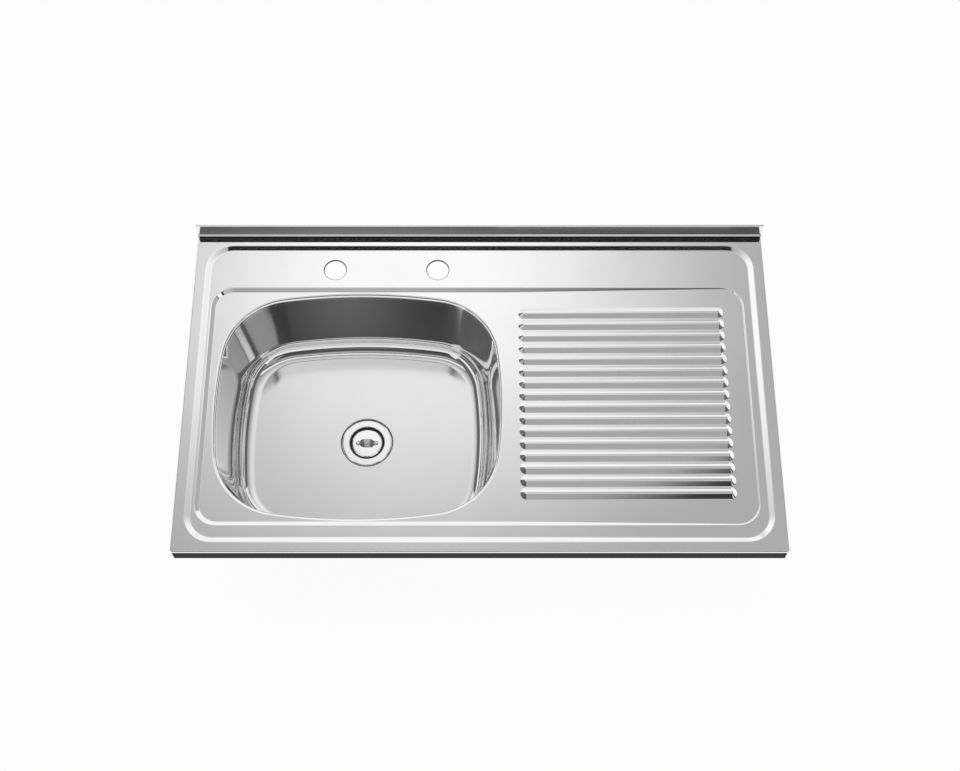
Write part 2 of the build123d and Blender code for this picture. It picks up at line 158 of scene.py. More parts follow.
# Lift-out plug
PIN_HOLE_RADIUS = 3.2
SEAL_RADIUS = 30.1
SEAL_TOP = -158.7
SEAL_BENDS = (0.1, 0.1, 1.3, 0.6)
CAP_RADIUS = 26.5
CAP_TOP = -157.7
CAP_DOME = 0.2
CAP_SHOULDER = 0.05
CAP_ROLL = 2.0
CAP_ROLL_DROP = 0.5
CAP_BENDS = (6.0, 0.4, 0.15)
HANDLE_HALF = 20.0
HANDLE_FOOT = 8.0
HANDLE_RISE = 4.0
HANDLE_HEIGHT = 10.0
HANDLE_WIDTH = 8.0
HANDLE_STRIP = 1.2
HANDLE_EDGE = 0.45
HANDLE_BENDS = (1.8, 6.0, 6.0, 1.8)
HANDLE_END_SWEEP = radians(84)
HANDLE_END_STEPS = 8
RIVET_RADIUS = 1.5
RIVET_HEAD_RADIUS = 2.6
RIVET_HEAD = 1.0
RIVET_CROWN_RADIUS = 1.43
RIVET_HEAD_EDGE = 0.25
RIVET_BENDS = (1.6, 0.4, 0.05, 0.05, 0.05)
POST_RADIUS = 3.0
POST_HEAD_RADIUS = 5.0
POST_HEAD = 1.2
POST_COLLAR_RADIUS = 4.5
POST_BENDS = (0.8, 0.1, 0.05, 0.05, 0.3, 0.3, 0.05, 0.05, 0.1, 0.8)
WASHER_Z = -162.7
BASKET_Z = -182.7
BASKET_SHEET = 0.6

# Waste body below the bowl, and the pad under the bowl's floor
BODY_TOP = -161.0
BODY_BORE = 34.0
BODY_RADIUS = 37.0
BODY_FLANGE_RADIUS = 44.0
BODY_FLANGE = 4.0
CONE_TOP = -209.7
CONE_FOOT = -224.7
OUTLET_Z = -248.7
OUTLET_BORE = 20.0
THREAD_RADIUS = 23.9
THREAD_ROOT = 22.9
THREAD_PITCH = 2.3
THREAD_INSET = 2.0
THREAD_SINK = 0.3
THREAD_FOOT = THREAD_PITCH * 0.48
THREAD_FLAT = THREAD_PITCH * 0.08
THREAD_STEPS = 48
BODY_BENDS = (0.5, 1.0, 0.8, 1.5, 6.0, 2.0, 0.6, 0.6, 3.0, 5.0)
BOSS_BORE = 5.0
BOSS_RADIUS = 8.0
BOSS_TOP = -195.7
BOSS_FOOT = -213.7
BOSS_BENDS = (0.2, 0.4, 0.5, 0.8)
WEB = 3.0
WEB_BENDS = (0.8, 0.4, 0.4, 0.8)
WEB_SINK = 1.0
PAD_WIDTH = 270.0
PAD_LENGTH = 220.0
PAD_CORNER = 30.0
PAD_TOP = -155.0
PAD_BOTTOM = -157.0
PAD_HOLE = 51.0
PAD_BENDS = (0.2, 1.0)


def left(direction):
    """Unit vector to the left of a flat direction."""
    return Vector((-direction.y, direction.x))


def bent(corners, radii, steps, ends=True):
    """Path through corners with rounded bends, as pairs of a point and the normal on the path's left."""
    corners = [Vector(corner) for corner in corners]
    path = []
    if ends:
        path.append((corners[0], left((corners[1] - corners[0]).normalized())))
    for before, corner, after, radius in zip(corners, corners[1:], corners[2:], radii):
        way_in = (corner - before).normalized()
        way_out = (after - corner).normalized()
        turn = atan2(way_in.cross(way_out), way_in.dot(way_out))
        side = 1 if turn > 0 else -1
        start = corner - way_in * radius * tan(abs(turn) / 2)
        centre = start + left(way_in) * radius * side
        for step in range(steps + 1):
            angle = turn * step / steps
            heading = Vector((
                way_in.x * cos(angle) - way_in.y * sin(angle),
                way_in.x * sin(angle) + way_in.y * cos(angle),
            ))
            path.append((centre - left(heading) * radius * side, left(heading)))
    if ends:
        path.append((corners[-1], left((corners[-1] - corners[-2]).normalized())))
    return path


class Surface:
    """Faces with a chosen normal at each point, in millimetres."""

    def __init__(self):
        self.points = []
        self.normals = []
        self.faces = []
        self.kinds = []

    def add(self, point, normal):
        self.points.append(point)
        self.normals.append(normal)
        return len(self.points) - 1

    def strip(self, rows, closed=False, kind=0):
        """Quads between neighbouring rows of points with normals, in a finish by its number."""
        grid = [[self.add(*item) for item in row] for row in rows]
        for near, far in zip(grid, grid[1:]):
            count = len(near)
            for i in range(count if closed else count - 1):
                j = (i + 1) % count
                self.faces.append((near[i], near[j], far[j], far[i]))
                self.kinds.append(kind)

    def cap(self, row, normal):
        """One flat face over a closed row of points."""
        self.faces.append(tuple(self.add(point, normal) for point, _ in row))
        self.kinds.append(0)

    def zone(self, border, holes=(), crease=None):
        """Triangles of a level or nearly level zone between a border and its holes."""
        items = []
        edges = []
        for loop in (border, *holes):
            first = len(items)
            count = len(loop)
            items += loop
            edges += [(first + i, first + (i + 1) % count) for i in range(count)]
        rims = list(edges)
        if crease:
            edges.append(crease)
        flat = [point.xy for point, normal in items]
        places, _, triangles, origins, _, _ = delaunay_2d_cdt(flat, edges, [], 0, 1e-4)
        index = [self.add(*items[origin[0]]) for origin in origins]
        for triangle in triangles:
            middle = sum((places[i] for i in triangle), Vector((0, 0))) / 3
            crossings = 0
            for a, b in rims:
                pa = flat[a]
                pb = flat[b]
                if (pa.y > middle.y) != (pb.y > middle.y):
                    crossings += middle.x < pa.x + (middle.y - pa.y) / (pb.y - pa.y) * (pb.x - pa.x)
            if crossings % 2:
                self.faces.append(tuple(index[i] for i in triangle))
                self.kinds.append(0)

    def shown(self, name, body, finishes, nodes, thickness=0.0):
        """Object from the faces, thickened to the far side of their normals, riding on a body."""
        work = bmesh.new()
        keep = work.verts.layers.float_vector.new("keep")
        finish = work.faces.layers.int.new("finish")
        verts = []
        for point, normal in zip(self.points, self.normals):
            vert = work.verts.new(point * MM)
            vert[keep] = normal.normalized()
            verts.append(vert)
        for face, kind in zip(self.faces, self.kinds):
            work.faces.new([verts[i] for i in face])[finish] = kind
        bmesh.ops.remove_doubles(work, verts=work.verts, dist=0.008 * MM)
        bmesh.ops.dissolve_degenerate(work, edges=work.edges, dist=0.002 * MM)
        loose = [vert for vert in work.verts if not vert.link_faces]
        bmesh.ops.delete(work, geom=loose, context="VERTS")
        for face in work.faces:
            face.normal_update()
            lean = sum((vert[keep] for vert in face.verts), Vector())
            if face.normal.dot(lean) < 0:
                face.normal_flip()
        work.verts.index_update()
        points = [vert.co.copy() for vert in work.verts]
        normals = [vert[keep].copy() for vert in work.verts]
        faces = [[vert.index for vert in face.verts] for face in work.faces]
        kinds = [face[finish] for face in work.faces]
        if thickness:
            count = len(points)
            points += [point - normal * thickness * MM for point, normal in zip(points, normals)]
            normals += [-normal for normal in normals]
            faces += [[i + count for i in reversed(face)] for face in faces]
            kinds += kinds
            for edge in work.edges:
                if len(edge.link_loops) == 1:
                    loop = edge.link_loops[0]
                    a = loop.vert.index
                    b = loop.link_loop_next.vert.index
                    ring = [points[b], points[a], points[a + count], points[b + count]]
                    normal = (ring[1] - ring[0]).cross(ring[2] - ring[1]).normalized()
                    first = len(points)
                    points += ring
                    normals += [normal] * 4
                    faces.append([first, first + 1, first + 2, first + 3])
                    kinds.append(loop.face[finish])
        work.free()
        mesh = bpy.data.meshes.new(name)
        mesh.from_pydata(points, [], faces)
        mesh.polygons.foreach_set("use_smooth", [True] * len(mesh.polygons))
        mesh.normals_split_custom_set_from_vertices(normals)
        for material in finishes:
            mesh.materials.append(material)
        mesh.polygons.foreach_set("material_index", kinds)
        piece = bpy.data.objects.new(name, mesh)
        bpy.context.scene.collection.objects.link(piece)
        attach(piece, body)
        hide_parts(*nodes)


def arc(centre, radius, start, end, steps):
    """Stations along an arc: its centre, the direction outwards and the radius."""
    stations = []
    for step in range(steps + 1):
        angle = start + (end - start) * step / steps
        stations.append((Vector((*centre, 0)), Vector((cos(angle), sin(angle), 0)), radius))
    return stations


def rounded(low, high, radius, steps, cut_x=None):
    """Stations round a rectangle with rounded corners, with one more on its long edges at cut_x."""
    right = high[0] - radius
    far = high[1] - radius
    near_left = (low[0] + radius, low[1] + radius)
    ring = arc((right, near_left[1]), radius, -pi / 2, 0, steps)
    ring += arc((right, far), radius, 0, pi / 2, steps)
    if cut_x is not None:
        ring.append((Vector((cut_x, far, 0)), Vector((0, 1, 0)), radius))
    ring += arc((near_left[0], far), radius, pi / 2, pi, steps)
    ring += arc(near_left, radius, pi, 1.5 * pi, steps)
    if cut_x is not None:
        ring.append((Vector((cut_x, near_left[1], 0)), Vector((0, -1, 0)), radius))
    return ring


def swept(stations, profiles, inwards=True):
    """Rows of points with normals: each station's profile, run inwards or outwards from its outline."""
    way = -1 if inwards else 1
    rows = []
    for place in range(len(profiles[0])):
        row = []
        for (centre, out, radius), profile in zip(stations, profiles):
            at, normal = profile[place]
            point = centre + out * (radius + way * at.x) + UP * at.y
            row.append((point, out * (way * normal.x) + UP * normal.y))
        rows.append(row)
    return rows


def circle(centre, radius, height, steps):
    """Loop of level points with upward normals."""
    return [(c + out * r + UP * height, UP) for c, out, r in arc(centre, radius, 0, 2 * pi, steps)[:-1]]


def drainer_height(x):
    """Height of the panel at a place along X."""
    return PANEL_Z + max(0.0, x - DRAINER_X) * DRAINER_RISE


def panel_normal(x):
    """Normal of the panel at a place along X."""
    return Vector((-DRAINER_RISE if x > DRAINER_X else 0, 0, 1)).normalized()


def barrel():
    """Stations round the bowl's mouth: bulging sides and ends joined by corner arcs."""
    side_x = BOWL_HALF_WIDTH - BOWL_SIDE
    end_y = BOWL_HALF_LENGTH - BOWL_END
    reach_side = BOWL_SIDE - BOWL_CORNER
    reach_end = BOWL_END - BOWL_CORNER
    gap = sqrt(side_x ** 2 + end_y ** 2)
    along = (reach_side ** 2 - reach_end ** 2 + gap ** 2) / (2 * gap)
    aside = sqrt(reach_side ** 2 - along ** 2)
    heading = Vector((-side_x, end_y)) / gap
    corner = Vector((side_x, 0)) + heading * along + left(heading) * aside
    side_angle = atan2(corner.y, corner.x - side_x)
    end_angle = atan2(corner.y - end_y, corner.x)
    ring = []
    for turn, flip in ((0, 1), (pi, -1)):
        cx, cy = corner * flip
        ring += arc((side_x * flip, 0), BOWL_SIDE, turn - side_angle, turn + side_angle, 18)
        ring += arc((cx, cy), BOWL_CORNER, turn + side_angle, turn + end_angle, 16)[1:]
        ring += arc((0, end_y * flip), BOWL_END, turn + end_angle, turn + pi - end_angle, 18)[1:]
        ring += arc((-cx, cy), BOWL_CORNER, turn + pi - end_angle, turn + pi - side_angle, 16)[1:-1]
    offset = Vector((BOWL_X, BOWL_Y, 0))
    return [(centre + offset, out, radius) for centre, out, radius in ring]


def wall_inset(height):
    """How far the bowl's wall has drawn in at a height."""
    return (PANEL_Z - height) * BOWL_DRAFT


def rib_rows(y):
    """Rows of one drainer rib, from its foot up to its crest line."""
    stations = arc((RIB_END_X - RIB_HALF, y), RIB_HALF, -pi / 2, pi / 2, 12)
    stations += arc((RIB_START_X + RIB_HALF, y), RIB_HALF, pi / 2, 1.5 * pi, 12)
    crest = RIB_HALF - RIB_CREST / 2
    foot = crest - RIB_HEIGHT / tan(RIB_SLOPE)
    path = ((foot - RIB_HALF, 0), (foot, 0), (crest, RIB_HEIGHT), (RIB_HALF, RIB_HEIGHT))
    profile = bent(path, (RIB_FOOT_BEND, RIB_CREST_BEND), 6)[1:]
    rows = swept(stations, [profile] * len(stations))
    lifted = []
    for row in rows:
        lifted.append([
            (point + UP * drainer_height(point.x), normal - Vector((DRAINER_RISE * normal.z, 0, 0)))
            for point, normal in row
        ])
    return lifted


def sink_top(material, edge_shade_paint):
    """Pressed deck: turned-down edges, rim, ledge, panel, ribs, bowl collar and upstand in one sheet."""
    deck = Surface()
    half = WIDTH / 2
    corner_y = FRONT_Y + EDGE_CORNER
    edge = [(Vector((EDGE_CORNER - half, SEAM_Y, 0)), Vector((-1, 0, 0)), EDGE_CORNER)]
    edge += arc((EDGE_CORNER - half, corner_y), EDGE_CORNER, pi, 1.5 * pi, 6)
    edge += arc((half - EDGE_CORNER, corner_y), EDGE_CORNER, 1.5 * pi, 2 * pi, 6)
    edge.append((Vector((half - EDGE_CORNER, SEAM_Y, 0)), Vector((1, 0, 0)), EDGE_CORNER))
    bend = bent(((-LEAD, RIM_Z), (0, RIM_Z), (0, SKIRT_Z)), (EDGE_BEND,), 8)[1:]
    edge_rows = swept(edge, [bend] * len(edge), inwards=False)
    deck.strip(edge_rows)

    run = (RIM_Z - LEDGE_Z) / tan(RIM_SLOPE)
    path = ((-LEAD, RIM_Z), (0, RIM_Z), (run, LEDGE_Z), (run + LEAD, LEDGE_Z))
    profile = bent(path, (RIM_BEND, RIM_BEND), 6, ends=False)
    rim_ring = rounded(RIM_LOW, RIM_HIGH, RIM_CORNER, 14)
    rim_rows = swept(rim_ring, [profile] * len(rim_ring))
    deck.strip(rim_rows, closed=True)
    deck.zone(edge_rows[0], [rim_rows[0]])

    panel_ring = rounded(PANEL_LOW, PANEL_HIGH, PANEL_CORNER, 14, DRAINER_X)
    profiles = []
    for centre, out, radius in panel_ring:
        low = drainer_height((centre + out * radius).x)
        run = (LEDGE_Z - low) / tan(PANEL_SLOPE)
        path = ((-LEAD, LEDGE_Z), (0, LEDGE_Z), (run, low), (run + LEAD, low))
        profiles.append(bent(path, (PANEL_BEND, PANEL_FOOT_BEND), 6, ends=False))
    panel_rows = swept(panel_ring, profiles)
    deck.strip(panel_rows, closed=True)
    path = ((-TAP_RADIUS - LEAD, LEDGE_Z), (-TAP_RADIUS, LEDGE_Z), (-TAP_RADIUS, LEDGE_Z - TAP_TURN))
    profile = bent(path, (TAP_EDGE,), 6)[1:]
    taps = []
    for x in TAP_X:
        axis = arc((x, TAP_Y), 0, 0, 2 * pi, 64)[:-1]
        rows = swept(axis, [profile] * len(axis))
        # The tap holes' turned-down edges take the second finish, the painted dark shade
        deck.strip(rows, closed=True, kind=1)
        taps.append(rows[0])
    deck.zone(rim_rows[-1], [panel_rows[0], *taps])

    mouth = barrel()
    path = ((-LEAD, PANEL_Z), (0, PANEL_Z), (wall_inset(COLLAR_Z), COLLAR_Z))
    lip = bent(path, (BOWL_LIP,), 8)[1:]
    lip_rows = swept(mouth, [lip] * len(mouth))
    deck.strip(lip_rows, closed=True)
    feet = []
    for index in range(RIB_COUNT):
        rows = rib_rows(RIB_FIRST_Y + index * RIB_PITCH)
        deck.strip(rows, closed=True)
        feet.append(rows[0])
    foot_loop = [(point, panel_normal(point.x)) for point, normal in panel_rows[-1]]
    cuts = [i for i, (point, normal) in enumerate(foot_loop) if abs(point.x - DRAINER_X) < 1e-6]
    deck.zone(foot_loop, [lip_rows[0], *feet], crease=tuple(cuts))

    path = (
        (SEAM_Y, RIM_Z), (FACE_Y, RIM_Z), (UPSTAND_FACE_TOP_Y, UPSTAND_TOP),
        (UPSTAND_BACK_Y, UPSTAND_TOP), (UPSTAND_BACK_Y, UPSTAND_LIP_Z),
    )
    profile = bent(path, (UPSTAND_FOOT_BEND, UPSTAND_BEND, UPSTAND_BEND), 8)
    columns = (-half, EDGE_BEND - half, half - EDGE_BEND, half)
    deck.strip([
        [(Vector((x, at.x, at.y)), Vector((0, normal.x, normal.y))) for x in columns]
        for at, normal in profile
    ])
    # The second finish is painted shade on the tap holes' edges
    deck.shown("pressed_deck", "sink", [material, edge_shade_paint], ["sink_top"], SHEET)


def bowl(material):
    """Drawn bowl below the collar, with its rounded floor edge and the sunk seat of the waste."""
    drawn = Surface()
    mouth = barrel()
    foot = wall_inset(FLOOR_Z)
    path = ((wall_inset(COLLAR_Z), COLLAR_Z), (foot, FLOOR_Z), (foot + LEAD + BOWL_FLOOR_BEND, FLOOR_Z))
    wall = bent(path, (BOWL_FLOOR_BEND,), 14)[:-1]
    wall_rows = swept(mouth, [wall] * len(mouth))
    drawn.strip(wall_rows, closed=True)
    path = (
        (-RECESS_RADIUS - LEAD, FLOOR_Z), (-RECESS_RADIUS, FLOOR_Z),
        (-RECESS_FOOT_RADIUS, RECESS_Z), (-WASTE_HOLE_RADIUS, RECESS_Z),
    )
    seat = bent(path, (RECESS_BEND, RECESS_BEND), 5)[1:]
    axis = arc(WASTE.xy, 0, 0, 2 * pi, 96)[:-1]
    seat_rows = swept(axis, [seat] * len(axis))
    drawn.strip(seat_rows, closed=True)
    drawn.zone(wall_rows[-1], [seat_rows[0]])
    drawn.shown("drawn_bowl", "sink", [material], ["bowl"], SHEET)


def strainer_cup(material):
    """Pressed strainer cup: flange, mouth, plug seat, well and drained bottom."""
    cup = Surface()
    path = (
        (-FLANGE_RADIUS, FLANGE_TOP - FLANGE_EDGE_DROP), (-FLANGE_RADIUS + FLANGE_EDGE, FLANGE_TOP),
        (-MOUTH_RADIUS, FLANGE_TOP),
        (-MOUTH_RADIUS, SEAT_Z), (-WELL_RADIUS, SEAT_Z), (-WELL_RADIUS, CUP_FLOOR_Z), (0, CUP_FLOOR_Z),
    )
    profile = bent(path, CUP_BENDS, 5)[:-1]
    axis = arc(WASTE.xy, 0, 0, 2 * pi, 96)[:-1]
    rows = swept(axis, [profile] * len(axis))
    cup.strip(rows, closed=True)
    holes = [circle(WASTE.xy, BOLT_HOLE_RADIUS, CUP_FLOOR_Z, 24)]
    for index in range(DRAIN_HOLES):
        angle = 2 * pi * index / DRAIN_HOLES
        centre = (WASTE.x + DRAIN_RING_RADIUS * cos(angle), WASTE.y + DRAIN_RING_RADIUS * sin(angle))
        holes.append(circle(centre, DRAIN_HOLE_RADIUS, CUP_FLOOR_Z, 24))
    cup.zone(rows[-1], holes)
    cup.shown("strainer_flange", "sink", [material], ["strainer_cup"], CUP_SHEET)


def about(surface, profile, closed=False, centre=None, segments=96):
    """Turned faces about the waste's axis or another upright one, from radius and height pairs."""
    axis = arc((centre or WASTE).xy, 0, 0, 2 * pi, segments)[:-1]
    rows = swept(axis, [profile] * segments, inwards=False)
    surface.strip(rows + rows[:1] if closed else rows, closed=True)


def outline(corners, radii, steps=4):
    """Closed rounded outline, as pairs of a point and its outward normal; the corners run clockwise."""
    return bent([corners[-1], *corners, corners[0]], radii, steps, ends=False)


def plug_seal(material):
    """Rubber ring with a rounded sealing edge."""
    ring = Surface()
    corners = [
        (PIN_HOLE_RADIUS, SEAT_Z), (PIN_HOLE_RADIUS, SEAL_TOP),
        (SEAL_RADIUS, SEAL_TOP), (SEAL_RADIUS, SEAT_Z),
    ]
    about(ring, outline(corners, SEAL_BENDS), closed=True)
    ring.shown("rubber_plug_ring", "plug", [material], ["plug_seal"])


def plug_cap(material):
    """Slightly domed steel cap with a rolled edge."""
    cap = Surface()
    path = (
        (0, CAP_TOP + CAP_DOME), (CAP_RADIUS - CAP_ROLL, CAP_TOP + CAP_SHOULDER),
        (CAP_RADIUS, CAP_TOP - CAP_ROLL_DROP),
        (CAP_RADIUS, SEAL_TOP), (0, SEAL_TOP),
    )
    about(cap, bent(path, CAP_BENDS, 5))
    cap.shown("domed_cap", "plug", [material], ["plug_cap"])


def plug_handle(material):
    """Bow handle bent from strip, with rounded edges and rounded feet."""
    bow = Surface()
    half = HANDLE_WIDTH / 2
    middle = HANDLE_STRIP / 2
    foot = HANDLE_HALF - HANDLE_FOOT
    crown = HANDLE_HEIGHT - middle
    path = bent((
        (half - HANDLE_HALF, middle), (-foot, middle), (HANDLE_RISE - foot, crown),
        (foot - HANDLE_RISE, crown), (foot, middle), (HANDLE_HALF - half, middle),
    ), HANDLE_BENDS, 8)
    stops = [(at, normal, half) for at, normal in path]
    ends = []
    for step in range(1, HANDLE_END_STEPS + 1):
        angle = HANDLE_END_SWEEP * step / HANDLE_END_STEPS
        ends.append((half * sin(angle), half * cos(angle)))
    for reach, width in ends:
        stops.insert(0, (Vector((half - HANDLE_HALF - reach, middle)), Vector((0, 1)), width))
        stops.append((Vector((HANDLE_HALF - half + reach, middle)), Vector((0, 1)), width))
    rows = []
    for at, normal, width in stops:
        edge = min(HANDLE_EDGE, width * 0.9)
        corners = [(-width, -middle), (-width, middle), (width, middle), (width, -middle)]
        row = []
        for place, facing in outline(corners, (edge,) * 4, 3):
            point = Vector((at.x + normal.x * place.y, place.x, at.y + normal.y * place.y))
            outward = Vector((normal.x * facing.y, facing.x, normal.y * facing.y))
            row.append((point + WASTE + UP * CAP_TOP, outward))
        rows.append(row)
    bow.strip(rows, closed=True)
    for row, way in ((rows[0], -1), (rows[-1], 1)):
        bow.cap(row, Vector((way, 0, 0)))
    bow.shown("bow_handle", "plug", [material], ["plug_handle"])


def handle_rivets(material):
    """Two domed rivets through the handle's feet."""
    pair = Surface()
    top = CAP_TOP + HANDLE_STRIP
    path = (
        (0, top + RIVET_HEAD), (RIVET_CROWN_RADIUS, top + RIVET_HEAD),
        (RIVET_HEAD_RADIUS, top + RIVET_HEAD_EDGE),
        (RIVET_HEAD_RADIUS, top), (RIVET_RADIUS, top), (RIVET_RADIUS, SEAL_TOP), (0, SEAL_TOP),
    )
    profile = bent(path, RIVET_BENDS, 4)
    for side in (-1, 1):
        centre = WASTE + Vector((side * (HANDLE_HALF - HANDLE_WIDTH / 2), 0, 0))
        about(pair, profile, centre=centre, segments=32)
    pair.shown("domed_rivets", "plug", [material], ["handle_rivets"])


def basket_post(material):
    """Post under the handle: domed head, collar and riveted foot."""
    post = Surface()
    foot = BASKET_Z - BASKET_SHEET
    path = (
        (0, CAP_TOP + POST_HEAD), (POST_HEAD_RADIUS, CAP_TOP + POST_HEAD), (POST_HEAD_RADIUS, CAP_TOP),
        (POST_RADIUS, CAP_TOP), (POST_RADIUS, WASHER_Z), (POST_COLLAR_RADIUS, WASHER_Z),
        (POST_COLLAR_RADIUS, BASKET_Z), (POST_RADIUS, BASKET_Z),
        (POST_RADIUS, foot), (POST_HEAD_RADIUS, foot),
        (POST_HEAD_RADIUS, foot - POST_HEAD), (0, foot - POST_HEAD),
    )
    about(post, bent(path, POST_BENDS, 4), segments=48)
    post.shown("riveted_post", "plug", [material], ["basket_post"])


def waste_body(material):
    """Moulded funnel with a webbed boss inside and a thread on its outlet."""
    funnel = Surface()
    corners = [
        (BODY_BORE, BODY_TOP), (BODY_FLANGE_RADIUS, BODY_TOP), (BODY_FLANGE_RADIUS, BODY_TOP - BODY_FLANGE),
        (BODY_RADIUS, BODY_TOP - BODY_FLANGE), (BODY_RADIUS, CONE_TOP), (THREAD_ROOT, CONE_FOOT),
        (THREAD_ROOT, OUTLET_Z), (OUTLET_BORE, OUTLET_Z), (OUTLET_BORE, CONE_FOOT), (BODY_BORE, CONE_TOP),
    ]
    about(funnel, outline(corners, BODY_BENDS), closed=True)
    corners = [
        (BOSS_BORE, BOSS_FOOT), (BOSS_BORE, BOSS_TOP),
        (BOSS_RADIUS, BOSS_TOP), (BOSS_RADIUS, BOSS_FOOT),
    ]
    about(funnel, outline(corners, BOSS_BENDS), closed=True, segments=48)
    corners = [(-WEB / 2, CONE_TOP), (-WEB / 2, BOSS_TOP), (WEB / 2, BOSS_TOP), (WEB / 2, CONE_TOP)]
    section = outline(corners, WEB_BENDS)
    for quarter in range(4):
        out = Vector((cos(quarter * pi / 2), sin(quarter * pi / 2), 0))
        aside = Vector((-out.y, out.x, 0))
        rows = []
        for reach in (BOSS_RADIUS - WEB_SINK, BODY_BORE + WEB_SINK):
            rows.append([
                (WASTE + out * reach + aside * at.x + UP * at.y, aside * normal.x + UP * normal.y)
                for at, normal in section
            ])
        funnel.strip(rows, closed=True)
        for row, way in zip(rows, (-1, 1)):
            funnel.cap(row, out * way)
    rows = []
    root = THREAD_ROOT - THREAD_SINK
    turns = int((CONE_FOOT - OUTLET_Z - 2 * THREAD_INSET) / THREAD_PITCH)
    for step in range(turns * THREAD_STEPS + 1):
        turn = step / THREAD_STEPS
        out = Vector((cos(2 * pi * turn), sin(2 * pi * turn), 0))
        fade = min(1, turn, turns - turn)
        height = OUTLET_Z + THREAD_INSET + THREAD_PITCH * turn
        crest = THREAD_ROOT + fade * (THREAD_RADIUS - THREAD_ROOT)
        rows.append([
            (WASTE + out * root + UP * (height + THREAD_FOOT), out + UP),
            (WASTE + out * crest + UP * (height + THREAD_FLAT), out + UP * 0.5),
            (WASTE + out * crest + UP * (height - THREAD_FLAT), out - UP * 0.5),
            (WASTE + out * root + UP * (height - THREAD_FOOT), out - UP),
        ])
    funnel.strip(rows)
    funnel.shown("moulded_waste", "sink", [material], ["waste_body"])


def bowl_pad(material):
    """Soft pad under the bowl, with rounded edges and a round opening about the waste."""
    pad = Surface()
    low = (WASTE.x - PAD_WIDTH / 2, WASTE.y - PAD_LENGTH / 2)
    high = (WASTE.x + PAD_WIDTH / 2, WASTE.y + PAD_LENGTH / 2)
    ring = rounded(low, high, PAD_CORNER, 12)
    path = ((-LEAD, PAD_TOP), (0, PAD_TOP), (0, PAD_BOTTOM), (-LEAD, PAD_BOTTOM))
    sides = swept(ring, [bent(path, PAD_BENDS, 5, ends=False)] * len(ring), inwards=False)
    pad.strip(sides, closed=True)
    axis = arc(WASTE.xy, 0, 0, 2 * pi, 72)[:-1]
    path = (
        (-PAD_HOLE - LEAD, PAD_TOP), (-PAD_HOLE, PAD_TOP),
        (-PAD_HOLE, PAD_BOTTOM), (-PAD_HOLE - LEAD, PAD_BOTTOM),
    )
    hole = swept(axis, [bent(path, PAD_BENDS, 5, ends=False)] * len(axis))
    pad.strip(hole, closed=True)
    pad.zone(sides[0], [hole[0]])
    pad.zone(sides[-1], [hole[-1]])
    pad.shown("soft_pad", "sink", [material], ["bowl_pad"])


def new_material(name):
    """Empty node material with a Principled shader; gives the material, its nodes, links and shader."""
    material = bpy.data.materials.new(name)
    material.use_nodes = True
    tree = material.node_tree
    shader = tree.nodes["Principled BSDF"]
    return material, tree.nodes, tree.links, shader


def noise(nodes, links, stretch, scale, detail):
    """Noise in the object's own space, drawn out along some axes."""
    place = nodes.new("ShaderNodeTexCoord")
    mapping = nodes.new("ShaderNodeMapping")
    mapping.inputs["Scale"].default_value = stretch
    texture = nodes.new("ShaderNodeTexNoise")
    texture.inputs["Scale"].default_value = scale
    texture.inputs["Detail"].default_value = detail
    links.new(place.outputs["Object"], mapping.inputs["Vector"])
    links.new(mapping.outputs["Vector"], texture.inputs["Vector"])
    return texture.outputs["Fac"]


def spread(nodes, links, value, low, high, source=(0.3, 0.7)):
    """A value carried from one span to another."""
    span = nodes.new("ShaderNodeMapRange")
    span.inputs["From Min"].default_value = source[0]
    span.inputs["From Max"].default_value = source[1]
    span.inputs["To Min"].default_value = low
    span.inputs["To Max"].default_value = high
    links.new(value, span.inputs["Value"])
    return span.outputs["Result"]


def tint(nodes, links, value, dark, light):
    """Colour between two tones by a value."""
    ramp = nodes.new("ShaderNodeValToRGB")
    ramp.color_ramp.elements[0].position = 0.3
    ramp.color_ramp.elements[0].color = (*dark, 1)
    ramp.color_ramp.elements[1].position = 0.7
    ramp.color_ramp.elements[1].color = (*light, 1)
    links.new(value, ramp.inputs["Fac"])
    return ramp.outputs["Color"]


def relief(nodes, links, shader, value, strength, distance):
    """Fine relief on a shader from a value."""
    bump = nodes.new("ShaderNodeBump")
    bump.inputs["Strength"].default_value = strength
    bump.inputs["Distance"].default_value = distance
    links.new(value, bump.inputs["Height"])
    links.new(bump.outputs["Normal"], shader.inputs["Normal"])


def steel(name, dark, light, smooth, rough, grain, satin=None):
    """Stainless steel: faint tone changes, drawn-out polishing grain, and a satin part by height if given."""
    material, nodes, links, shader = new_material(name)
    shader.inputs["Metallic"].default_value = 1.0
    cloud = noise(nodes, links, (1, 1, 1), 9.0, 3.0)
    links.new(tint(nodes, links, cloud, dark, light), shader.inputs["Base Color"])
    lines = noise(nodes, links, grain, 1.0, 5.0)
    roughness = spread(nodes, links, lines, smooth, rough)
    if satin:
        place = nodes.new("ShaderNodeTexCoord")
        split = nodes.new("ShaderNodeSeparateXYZ")
        links.new(place.outputs["Object"], split.inputs["Vector"])
        extra = spread(nodes, links, split.outputs["Z"], satin[2], 0.0, satin[:2])
        total = nodes.new("ShaderNodeMath")
        total.operation = "ADD"
        links.new(roughness, total.inputs[0])
        links.new(extra, total.inputs[1])
        roughness = total.outputs["Value"]
    links.new(roughness, shader.inputs["Roughness"])
    relief(nodes, links, shader, lines, 0.006, 0.00001)
    return material


def matte(name, dark, light, smooth, rough, scale, strength, distance):
    """Rubber or plastic: mottled tone, uneven gloss and a fine moulded grain."""
    material, nodes, links, shader = new_material(name)
    cloud = noise(nodes, links, (1, 1, 1), scale, 6.0)
    links.new(tint(nodes, links, cloud, dark, light), shader.inputs["Base Color"])
    links.new(spread(nodes, links, cloud, smooth, rough), shader.inputs["Roughness"])
    relief(nodes, links, shader, cloud, strength, distance)
    return material


